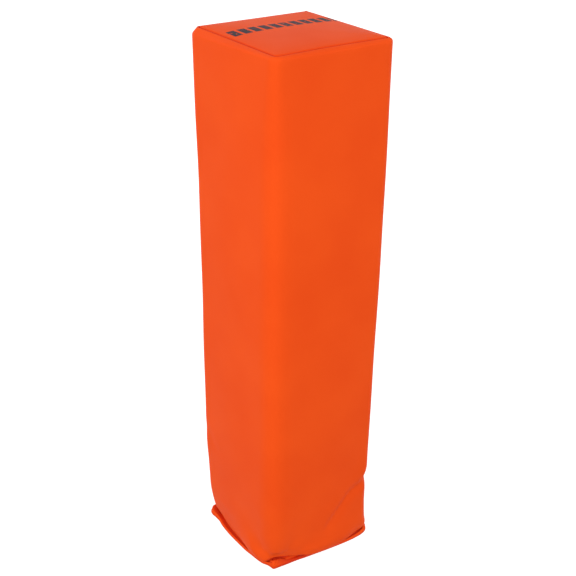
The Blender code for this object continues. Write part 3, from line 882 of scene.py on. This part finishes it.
# (half width, corner radius, height, rows to the next) from the top of the bag down to its seam,
# and on from there to its bottom, in mm
bagUpper = (
    (5, 4, 77.2, 3), (26, 16, 76.4, 3), (38, 20, 74.4, 3), (44.6, 21, 69, 3),
    (47, 21.5, 60, 4), (47.8, 22, 48, 4), (47.4, 22, 39.6, 2), (48, 23, 38.3, 1),
    (49.4, 25, 37.95, 1),
)
bagLower = (
    (49.4, 25, 37.35, 1), (48, 23, 37, 2), (47.6, 22, 35, 4), (47.8, 22, 27, 4),
    (46.6, 22, 18, 4), (44, 21, 12, 3), (41.4, 20, 8.4, 2), (38.6, 18, 7, 3),
    (33.2, 13, 6.6, 2), (30.8, 10, 5, 2), (30, 9, 2.2, 2), (28, 8.5, 1.3, 4),
    (6, 5, 1.3, 1),
)
bagColumns = Columns(8, 18)


# A pressure run of the cloth solver, with how far a point may go held to give, in mm
def plumpUp(mesh, pressure, give, frames=18):
    piece = bpy.data.objects.new("plump", mesh)
    scene.collection.objects.link(piece)
    cloth = piece.modifiers.new("cloth", "CLOTH")
    cloth.settings.use_pressure = True
    cloth.settings.uniform_pressure_force = pressure
    cloth.settings.effector_weights.gravity = 0
    cloth.settings.quality = 4
    cloth.settings.bending_stiffness = 0.3
    cloth.point_cache.frame_start, cloth.point_cache.frame_end = 1, frames
    for frameNumber in range(1, frames + 1):
        scene.frame_set(frameNumber)
    solved = piece.evaluated_get(bpy.context.evaluated_depsgraph_get())
    moved = np.array([v.co for v in solved.data.vertices]) - np.array([v.co for v in mesh.vertices])
    piece.modifiers.remove(cloth)
    scene.frame_set(1)
    bpy.data.objects.remove(piece)
    far = np.linalg.norm(moved, axis=1, keepdims=True)
    limit = give * mm
    return moved * (limit * np.tanh(far / limit) / np.maximum(far, 1e-9))


def buildBag():
    b = bagSize
    upper, lower = (levelGrid(bagColumns, rows) for rows in (bagUpper, bagLower))
    whole = np.concatenate([upper, lower])
    closed = gridMesh(whole, highPole=b["top"], lowPole=b["bottom"])
    moved = plumpUp(closed, b["press"], b["give"])[: whole[:, :, 0].size].reshape(whole.shape) / mm
    # the seam and the part that rests on the flap stay where they are
    z = whole[:, :, 2]
    free = np.clip(np.abs(z - b["seam"]) / 6.0, 0, 1) * np.clip((z - 6.0) / 8.0, 0, 1)
    whole = whole + moved * free[:, :, None]
    upperMesh = gridMesh(whole[: len(upper)], highPole=b["top"])
    lowerMesh = gridMesh(whole[len(upper) :], lowPole=b["bottom"])
    for node, mesh in (("ballast_bag_upper", upperMesh), ("ballast_bag_lower", lowerMesh)):
        piece = addPiece(node, mesh, canvas)
        giveThickness(piece, b["cloth"])


# The sand fills the bag, a little inside its cloth
def buildSand():
    rows = []
    for half, radius, z, count in bagUpper[:-2] + bagLower[2:]:
        inside = max(half - 1.6, 3.0)
        height = max(z, 2.4) if z < 30 else z - 1.4
        rows.append((inside, min(radius, inside * 0.9), height, count))
    mesh = gridMesh(levelGrid(bagColumns, rows), highPole=rows[0][2], lowPole=rows[-1][2])
    addPiece("ballast_sand", mesh, drySand)


buildBag()
buildSand()
print("ballast made")


flapSize = dict(half=44.4, radius=12.4, crown=0.12, cloth=0.8, hinge=44.4, hingeBand=2.5)


def buildFlap():
    f = flapSize
    # its outer face looks down, so its rows run from the edge to the middle
    rows = ((f["half"], f["radius"], 0.0, 3), (42.0, 11.5, 0.0, 12), (8.0, 5.0, 0.0, 1))
    mesh = gridMesh(levelGrid(Columns(10, 26), rows), lowPole=f["crown"])
    layMapFlat(mesh)
    piece = addPiece("base_flap", mesh, vinyl, body=None)
    giveThickness(piece, f["cloth"] - f["crown"])
    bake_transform(piece)


stripSize = dict(steps=60, cloth=0.6, waver=0.12)


# A folded strip of the same cloth: sewn flat under the hem, turned down and sewn to the flap
def buildHingeStrip():
    low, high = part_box("flap_hinge_strip")
    inner, outer, bottom, top = low.y / mm, high.y / mm, low.z / mm, high.z / mm
    profile = (
        (inner, top), (inner + 3, top), (outer - 2.2, top), (outer - 0.9, top - 0.35),
        (outer - 0.1, (top + bottom) / 2),
        (outer - 0.9, bottom + 0.35), (outer - 2.2, bottom), (inner + 3, bottom), (inner, bottom),
    )
    xs = np.linspace(high.x / mm, -high.x / mm, stripSize["steps"])
    waves = [stripSize["waver"] * np.sin(xs / 3.1 + k) for k in range(len(profile))]
    rows = [np.column_stack([xs, y + wave, np.full(len(xs), z)]) for (y, z), wave in zip(profile, waves)]
    mesh = gridMesh(np.array(rows), joined=False)
    piece = addPiece("flap_hinge_strip", mesh, vinyl)
    giveThickness(piece, stripSize["cloth"])


buildFlap()
buildHingeStrip()
print("flap made")


socketKinds = {float: "NodeSocketFloat", int: "NodeSocketInt", bpy.types.Material: "NodeSocketMaterial"}


# A tree that takes a shape and named values, with what comes out of its input node
def startTree(name, values):
    tree = bpy.data.node_groups.new(name, "GeometryNodeTree")
    tree.interface.new_socket(name="Shape", in_out="INPUT", socket_type="NodeSocketGeometry")
    for label, value in values.items():
        socket = tree.interface.new_socket(name=label, in_out="INPUT", socket_type=socketKinds[type(value)])
        socket.default_value = value
    tree.interface.new_socket(name="Geometry", in_out="OUTPUT", socket_type="NodeSocketGeometry")
    return tree, addNode(tree, "NodeGroupInput").outputs


# Stands a shape on points and ends the tree with it as a real mesh
def finishTree(tree, given, points, shape, turned):
    rows = {"Points": points, "Instance": shape, "Rotation": turned}
    placed = addNode(tree, "InstanceOnPoints", rows)
    smooth = addNode(tree, "SetShadeSmooth", {0: placed})
    real = addNode(tree, "RealizeInstances", {0: smooth})
    coat = addNode(tree, "SetMaterial", {"Geometry": real, "Material": given["Finish"]})
    addNode(tree, "NodeGroupOutput", {0: coat})
    return tree


# Sends a shape through a tree and keeps the plain mesh that comes out
def runTree(tree, data, values):
    carrier = bpy.data.objects.new("carrier", data)
    scene.collection.objects.link(carrier)
    maker = carrier.modifiers.new("maker", "NODES")
    maker.node_group = tree
    for socket in tree.interface.items_tree:
        if socket.name in values:
            maker[socket.identifier] = values[socket.name]
    bpy.context.view_layer.update()
    solved = carrier.evaluated_get(bpy.context.evaluated_depsgraph_get())
    mesh = bpy.data.meshes.new_from_object(solved)
    carrier.modifiers.remove(maker)
    bpy.data.objects.remove(carrier)
    return mesh


stitchSize = dict(pitch=3.2, length=2.7, thread=0.5)


def stitchValues(size):
    pitch, length, thread = (size[key] * mm for key in ("pitch", "length", "thread"))
    return {"Pitch": pitch, "Stitch Length": length, "Thread": thread, "Finish": sewingThread}


# A row of lockstitches along a curve, each a short plump length of thread
def makeStitchTree():
    tree, given = startTree("lockstitches", stitchValues(stitchSize))
    path = {"Curve": given["Shape"], "Length": given["Pitch"]}
    dots = addNode(tree, "ResampleCurve", path, mode="LENGTH")
    tangent = addNode(tree, "InputTangent")
    turned = addNode(tree, "FunctionNodeAlignRotationToVector", {"Vector": tangent}, axis="X")
    bead = addNode(tree, "MeshUVSphere", {"Segments": 7, "Rings": 6, "Radius": 0.5})
    sides = {"X": given["Stitch Length"], "Y": given["Thread"], "Z": given["Thread"]}
    size = addNode(tree, "ShaderNodeCombineXYZ", sides)
    shaped = addNode(tree, "Transform", {"Geometry": bead, "Scale": size})
    return finishTree(tree, given, dots, shaped, turned)


stitchTree = makeStitchTree()


# Sews stitches along lines of points in mm, with sizes other than the usual where they are given
def sewLines(node, lines, closed=True, body="cover", **changed):
    curve = bpy.data.curves.new("path", "CURVE")
    curve.dimensions = "3D"
    for points in lines:
        spline = curve.splines.new("POLY")
        spline.points.add(len(points) - 1)
        spline.use_cyclic_u = closed
        for place, point in zip(spline.points, points):
            place.co = (*(float(v) * mm for v in point), 1)
    mesh = runTree(stitchTree, curve, stitchValues(stitchSize | changed))
    addPiece(node, mesh, sewingThread, body)


# Middle and size of a node's box, in mm
def boxOf(node):
    low, high = (np.array(v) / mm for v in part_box(node))
    return (low + high) / 2, high - low


def buildSeams():
    c = Columns(6, 8)
    middle, size = boxOf("top_seam_thread")
    sewLines("top_seam_thread", [seamRing(c, size[0] / 2 - 0.25, 3.4, middle[2])[:-1]])
    middle, size = boxOf("hem_thread")
    above = ringAt(c, size[0] / 2 - 0.2, 11.2, middle[2])[:-1]
    sewLines("hem_thread", [above, above - (0, 0, 1.25)], thread=0.45)
    middle, size = boxOf("back_seam_thread")
    heights = middle[2] - size[2] / 2 + size[2] * np.arange(61) / 60
    sewLines("back_seam_thread", [[(-47.0, 49.0, z) for z in heights]], closed=False)
    middle, size = boxOf("ballast_bag_thread")
    sewLines("ballast_bag_thread", [ringAt(c, size[0] / 2 - 0.3, 24.0, middle[2] - 0.25)[:-1]])
    middle, size = boxOf("flap_hinge_thread")
    xs = -size[0] / 2 + size[0] * np.arange(31) / 30
    sewLines("flap_hinge_thread", [[(x, *middle[1:]) for x in xs]], closed=False, thread=0.42)


buildSeams()
print("seams sewn")


# Both tapes are made facing up, from the level 0. The hooks face up on the flap, and the loops hang
# below the hem, so their tapes are turned over.
tapeSize = dict(base=0.36, thickness=0.48, margin=1.2, hookPitch=1.55, pilePitch=1.0, pileMargin=0.9)
hookTape = dict(
    body="flap",
    finish=hookNylon,
    facing=1,
    height=0.85,
    thread=0.22,
    sides=5,
    curve=((0, 0, 0), (-0.15, 0, 1.3), (0.85, 0, 1.35), (0.62, 0, 0.48)),
    turn=(0.12, 0.12, 0.35),
    spread=0.6,
    seeds=dict(front=3, left=5, right=8),
)
loopTape = dict(
    body="cover",
    finish=loopPile,
    facing=-1,
    height=0.5,
    thread=0.13,
    sides=4,
    curve=((-0.5, 0, 0), (-1.0, 0.2, 1.3), (1.0, -0.2, 1.3), (0.5, 0, 0)),
    turn=(0.5, 0.5, 3.14),
    spread=1.0,
    seeds=dict(front=2, left=6, right=9),
)


def fibreValues(tape, side):
    values = {
        "Height": tape["height"] * mm,
        "Radius": tape["thread"] / 2 * mm,
        "Spread": tape["spread"],
        "Seed": tape["seeds"][side],
        "Finish": tape["finish"],
    }
    if tape is loopTape:
        values["Gap"] = tapeSize["pilePitch"] * 0.72 * mm
        values["Density"] = 1.4 / (tapeSize["pilePitch"] * mm) ** 2
    return values


# Short bent fibres, each turned a little by chance. Hooks stand on the points that go in, and loops
# are strewn over a face.
def makeFibreTree(name, tape):
    tree, given = startTree(name, fibreValues(tape, "front"))
    points = given["Shape"]
    if tape is loopTape:
        strewn = {"Mesh": points, "Seed": given["Seed"]}
        strewn |= {"Distance Min": given["Gap"], "Density Max": given["Density"]}
        points = addNode(tree, "DistributePointsOnFaces", strewn, distribute_method="POISSON")
    ends = dict(zip(("Start", "Start Handle", "End Handle", "End"), tape["curve"]))
    bend = addNode(tree, "CurvePrimitiveBezierSegment", {"Resolution": 6} | ends)
    scaled = addNode(tree, "Transform", {"Geometry": bend, "Scale": given["Height"]})
    section = {"Radius": given["Radius"], "Resolution": tape["sides"]}
    wire = addNode(tree, "CurvePrimitiveCircle", section)
    thread = {"Curve": scaled, "Profile Curve": wire, "Fill Caps": True}
    fibre = addNode(tree, "CurveToMesh", thread)
    most = tape["turn"]
    chance = {"Min": tuple(-v for v in most), "Max": most, "Seed": given["Seed"]}
    drawn = addNode(tree, "FunctionNodeRandomValue", chance, data_type="FLOAT_VECTOR")
    spread = addNode(tree, "ShaderNodeVectorMath", {0: drawn, 3: given["Spread"]}, operation="SCALE")
    turned = addNode(tree, "FunctionNodeEulerToRotation", {0: spread})
    return finishTree(tree, given, points, fibre, turned)


hookTree = makeFibreTree("mouldedHooks", hookTape)
loopTree = makeFibreTree("brushedLoops", loopTape)


# A woven ribbon between two corners, thicker along its two long edges
def ribbon(low, high):
    t = tapeSize
    along = 0 if high[0] - low[0] > high[1] - low[1] else 1
    other = 1 - along
    width = high[other] - low[other]
    shares = (0.0, 0.03, 0.08, 0.14, 0.5, 0.86, 0.92, 0.97, 1.0, 1.0, 0.5, 0.0)
    lift = (0.4, 0.95, 1.0, 0.72, 0.72, 0.72, 1.0, 0.95, 0.4, 0.0, 0.0, 0.0)
    b = bmesh.new()
    rings = []
    for distance in np.linspace(low[along], high[along], 48):
        rings.append([])
        for share, height in zip(shares, lift):
            p = Vector((0, 0, t["thickness"] * height))
            p[along], p[other] = distance, low[other] + width * share
            rings[-1].append(b.verts.new(p * mm))
    for ring, following in zip(rings[:-1], rings[1:]):
        for i in range(len(shares)):
            j = (i + 1) % len(shares)
            b.faces.new((ring[i], ring[j], following[j], following[i]))
    b.faces.new(rings[0])
    b.faces.new(rings[-1])
    bmesh.ops.recalc_face_normals(b, faces=b.faces)
    return b


# Points in even rows for the hooks to stand on, every other row moved half a step
def hookFeet(low, high):
    t = tapeSize
    span = high - low - 2 * t["margin"]
    nx, ny = (round(v / t["hookPitch"]) for v in span)
    feet = []
    for i in range(nx + 1):
        for j in range(ny + 1):
            x, y = low + t["margin"] + span * (i / nx, j / ny)
            feet.append((x - 0.2, y + (0.35 if i % 2 else 0.0) - 0.17, t["base"] - 0.05))
    return feet, []


# The face that the loops grow from
def pileGround(low, high):
    (x0, y0), (x1, y1) = low + tapeSize["pileMargin"], high - tapeSize["pileMargin"]
    return [(x, y, tapeSize["base"]) for x, y in ((x0, y0), (x1, y0), (x1, y1), (x0, y1))], [(0, 1, 2, 3)]


def buildTape(kind, side, tape, tree, makeGround):
    node = kind + "_tape_" + side
    low, high = (np.array(v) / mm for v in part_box(node))
    back = low[2] if tape["facing"] > 0 else high[2]
    ys = sorted((low[1] * tape["facing"], high[1] * tape["facing"]))
    low, high = np.array((low[0], ys[0])), np.array((high[0], ys[1]))
    points, faces = makeGround(low, high)
    ground = bpy.data.meshes.new("ground")
    ground.from_pydata([[float(v) * mm for v in point] for point in points], [], faces)
    fibres = runTree(tree, ground, fibreValues(tape, side))
    b = ribbon(low, high)
    b.from_mesh(fibres)
    over = Matrix.Rotation(math.pi, 4, "X") if tape["facing"] < 0 else Matrix()
    b.transform(Matrix.Translation((0, 0, back * mm)) @ over)
    for face in b.faces:
        face.material_index = 0
        face.smooth = True
    mesh = bpy.data.meshes.new(node)
    b.to_mesh(mesh)
    b.free()
    bpy.data.meshes.remove(fibres)
    addPiece(node, mesh, tape["finish"], tape["body"])


# One closed row of stitches, half a millimetre inside the tape
def stitchTape(kind, side, tape):
    node = kind + "_stitch_" + side
    low, high = (np.array(v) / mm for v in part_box(node))
    (x0, y0, _), (x1, y1, _) = low + 0.2, high - 0.2
    tapeLow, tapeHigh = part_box(kind + "_tape_" + side)
    z = tapeLow.z / mm + 0.5 if tape["facing"] > 0 else tapeHigh.z / mm - 0.5
    corners = np.array(((x0, y0, z), (x1, y0, z), (x1, y1, z), (x0, y1, z), (x0, y0, z)))
    loop = [a + (b - a) * k / 8 for a, b in zip(corners[:-1], corners[1:]) for k in range(8)]
    sewLines(node, [loop], body=tape["body"], pitch=2.7, length=2.3, thread=0.42)


tapes = (("hook", hookTape, hookTree, hookFeet), ("loop", loopTape, loopTree, pileGround))
for kind, tape, tree, makeGround in tapes:
    for side in ("front", "left", "right"):
        buildTape(kind, side, tape, tree, makeGround)
for kind, tape, *_ in tapes:
    for side in ("front", "left", "right"):
        stitchTape(kind, side, tape)
print("tapes and stitches made")


cameraView = dict(
    azimuth=53.84,
    elevation=27.15,
    roll=0.749,
    target=(-27.6, 19.3, 225.0),  # mm
    distance=843.1,  # mm
    sensor=36.0,
    focus=989.9 / 576,  # focal length in widths of the picture
)


def setCamera():
    v = cameraView
    data = bpy.data.cameras.new("camera")
    camera = bpy.data.objects.new("camera", data)
    scene.collection.objects.link(camera)
    place = Matrix.Translation(Vector(v["target"]) * mm)
    for angle, axis in ((v["azimuth"], "Z"), (90 - v["elevation"], "X"), (v["roll"], "Z")):
        place = place @ Matrix.Rotation(math.radians(angle), 4, axis)
    camera.matrix_world = place @ Matrix.Translation((0, 0, v["distance"] * mm))
    data.sensor_width = v["sensor"]
    data.lens = v["sensor"] * v["focus"]
    scene.camera = camera


stageLook = dict(
    level=-0.25,  # mm
    opening=(45.5, 12.5),  # mm, half its width and its corner radius, less than the base covers
    reach=15000.0,  # mm
    floorColour="#B2B2B2",
    floorGlow=(0.84, 0.95),  # near the object, where its shadow falls, and far from it
    glowReach=(0.3, 1.3),  # m
    worldStrength=0.62,
    lampsAimAt=(0, 0, 0.22),
)
lamps = dict(
    keyLight=dict(place=(-0.35, -1.7, 1.0), size=1.4, watts=11.1),
    fillLight=dict(place=(1.72, 0.3, 1.0), size=1.4, watts=9.0),
    frontLight=dict(place=(0.65, -0.65, 0.6), size=0.5, watts=2.8),
    leftBackLight=dict(place=(-1.7, -0.1, 0.6), size=1.2, watts=3.5),
    rightBackLight=dict(place=(0.1, 1.7, 0.6), size=1.2, watts=3.5),
)


# 1 for what the eye, a gloss or a glass sees directly, and 0 for what only lights the object
def seenDirectly(tree):
    rays = addNode(tree, "LightPath").outputs
    seen = rays["Is Camera Ray"]
    for other in ("Is Glossy Ray", "Is Transmission Ray"):
        seen = addNode(tree, "Math", {0: seen, 1: rays[other]}, operation="ADD", use_clamp=True)
    return seen


# Painted board, matt and pale: white to the camera, but it still takes the object's shadow. It is
# open under the object and see-through from below, so that the flap can be looked at from there.
def addFloor():
    look = stageLook
    inner = ringAt(Columns(8, 4), *look["opening"], look["level"])
    outer = inner * (look["reach"] / np.linalg.norm(inner[:, :2], axis=1, keepdims=True))
    outer[:, 2] = look["level"]
    mesh = gridMesh(np.array([inner, outer])[:, :-1])
    floor = bpy.data.objects.new("floor", mesh)
    scene.collection.objects.link(floor)
    material = bpy.data.materials.new("paintedBoard")
    material.use_nodes = True
    tree = material.node_tree
    tree.nodes.clear()
    matt = addNode(tree, "BsdfDiffuse", {"Color": hexColour(look["floorColour"])})
    place = addNode(tree, "TexCoord").outputs["Object"]
    away = addNode(tree, "VectorMath", {0: place}, operation="LENGTH").outputs["Value"]
    (near, far), (nearGlow, farGlow) = look["glowReach"], look["floorGlow"]
    change = {"Value": away, "From Min": near, "From Max": far, "To Min": nearGlow, "To Max": farGlow}
    strength = addNode(tree, "MapRange", change, interpolation_type="SMOOTHSTEP")
    glow = addNode(tree, "Emission", {"Strength": strength})
    seen = addNode(tree, "AddShader", {0: matt, 1: glow})
    above = addNode(tree, "MixShader", {0: seenDirectly(tree), 1: matt, 2: seen})
    fromBelow = addNode(tree, "NewGeometry").outputs["Backfacing"]
    clear = addNode(tree, "BsdfTransparent")
    board = addNode(tree, "MixShader", {0: fromBelow, 1: above, 2: clear})
    addNode(tree, "OutputMaterial", {"Surface": board})
    mesh.materials.append(material)


def addSoftbox(name, place, size, watts):
    data = bpy.data.lights.new(name, "AREA")
    data.shape = "SQUARE"
    data.size = size
    data.energy = watts
    lamp = bpy.data.objects.new(name, data)
    lamp.location = place
    aim = Vector(stageLook["lampsAimAt"]) - Vector(place)
    lamp.rotation_euler = aim.to_track_quat("-Z", "Y").to_euler()
    scene.collection.objects.link(lamp)


def setLight():
    scene.world = scene.world or bpy.data.worlds.new("world")
    scene.world.use_nodes = True
    tree = scene.world.node_tree
    tree.nodes.clear()
    soft, seen = (
        addNode(tree, "Background", {"Color": hexColour("#FFFFFF"), "Strength": strength})
        for strength in (stageLook["worldStrength"], 1.0)
    )
    mix = addNode(tree, "MixShader", {0: seenDirectly(tree), 1: soft, 2: seen})
    addNode(tree, "OutputWorld", {"Surface": mix})
    for name, lamp in lamps.items():
        addSoftbox(name, **lamp)
    scene.view_settings.view_transform = "Standard"


setCamera()
addFloor()
setLight()
print("camera, floor and light set")
